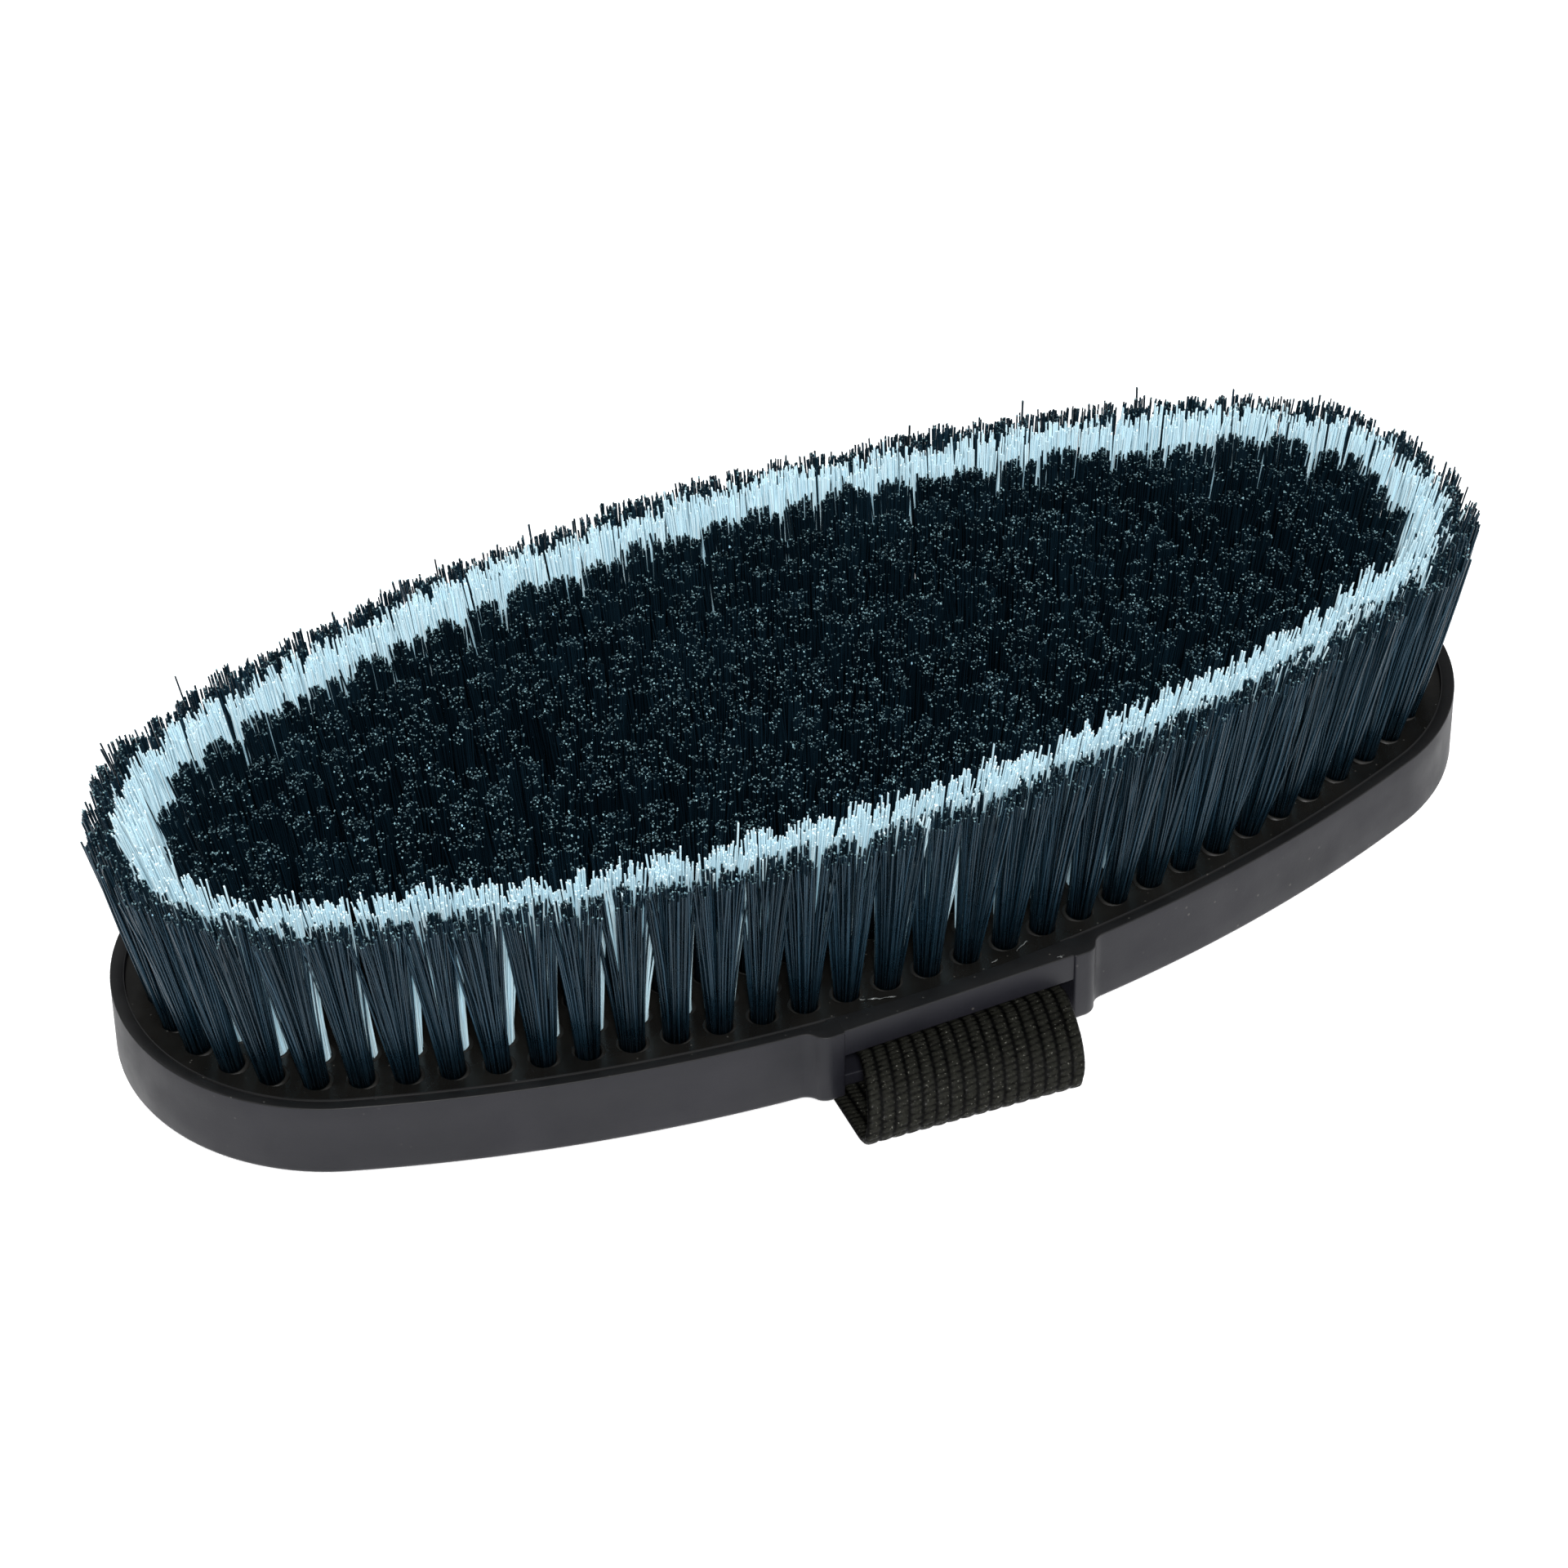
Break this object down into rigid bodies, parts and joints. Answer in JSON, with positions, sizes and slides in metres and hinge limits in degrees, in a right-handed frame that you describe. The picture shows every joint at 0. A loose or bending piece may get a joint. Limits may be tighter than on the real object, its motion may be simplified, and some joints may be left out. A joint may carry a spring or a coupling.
{
  "type": "body brush",
  "caption": "Oval grooming brush with flared filament tufts in concentric rings, one ring light blue, and an elastic hand strap folded under its flat back.",
  "frame": {"origin": "centre of the footprint, on the surface the brush lies on: the underside of the strap under the flat back", "axes": "+X along the long axis of the oval, +Y across it, +Z out of the bristles, away from the back"},
  "size_m": [0.2022, 0.1082, 0.041],
  "materials": {
    "shell_soft_touch": "satin soft-touch moulding, bluish black",
    "bristle_plate": "glossy brownish-black moulding",
    "bristle_navy": "drawn synthetic filament, dark navy, slightly translucent",
    "bristle_light_blue": "drawn synthetic filament, light blue",
    "strap_webbing": "ribbed black elastic webbing",
    "steel_wire": "flat steel wire"
  },
  "bodies": {
    "brush": {"body_shell": "shell_soft_touch", "bristle_plate": "bristle_plate", "tufts_ring_1": "bristle_navy", "tufts_ring_2": "bristle_light_blue", "tufts_ring_3": "bristle_navy", "tufts_ring_4": "bristle_navy", "tufts_ring_5": "bristle_navy", "tufts_ring_6": "bristle_navy", "tufts_ring_7": "bristle_navy", "tufts_centre_row": "bristle_navy", "anchors_ring_1": "steel_wire", "anchors_ring_2": "steel_wire", "anchors_ring_3": "steel_wire", "anchors_ring_4": "steel_wire", "anchors_ring_5": "steel_wire", "anchors_ring_6": "steel_wire", "anchors_ring_7": "steel_wire", "anchors_centre_row": "steel_wire", "strap_leg_front": "strap_webbing", "strap_leg_rear": "strap_webbing", "strap_end_front": "strap_webbing", "strap_end_rear": "strap_webbing", "strap_staples_front": "steel_wire", "strap_staples_rear": "steel_wire"},
    "hand_strap": {"strap_band": "strap_webbing"}
  },
  "joints": [
    {"name": "strap_lift", "type": "slide", "parent": "brush", "child": "hand_strap", "axis": [0, 0, -1], "range_m": [0, 0.028], "stiffness_N_per_m": 40, "deforming": ["strap_leg_front", "strap_leg_rear"]}
  ]
}
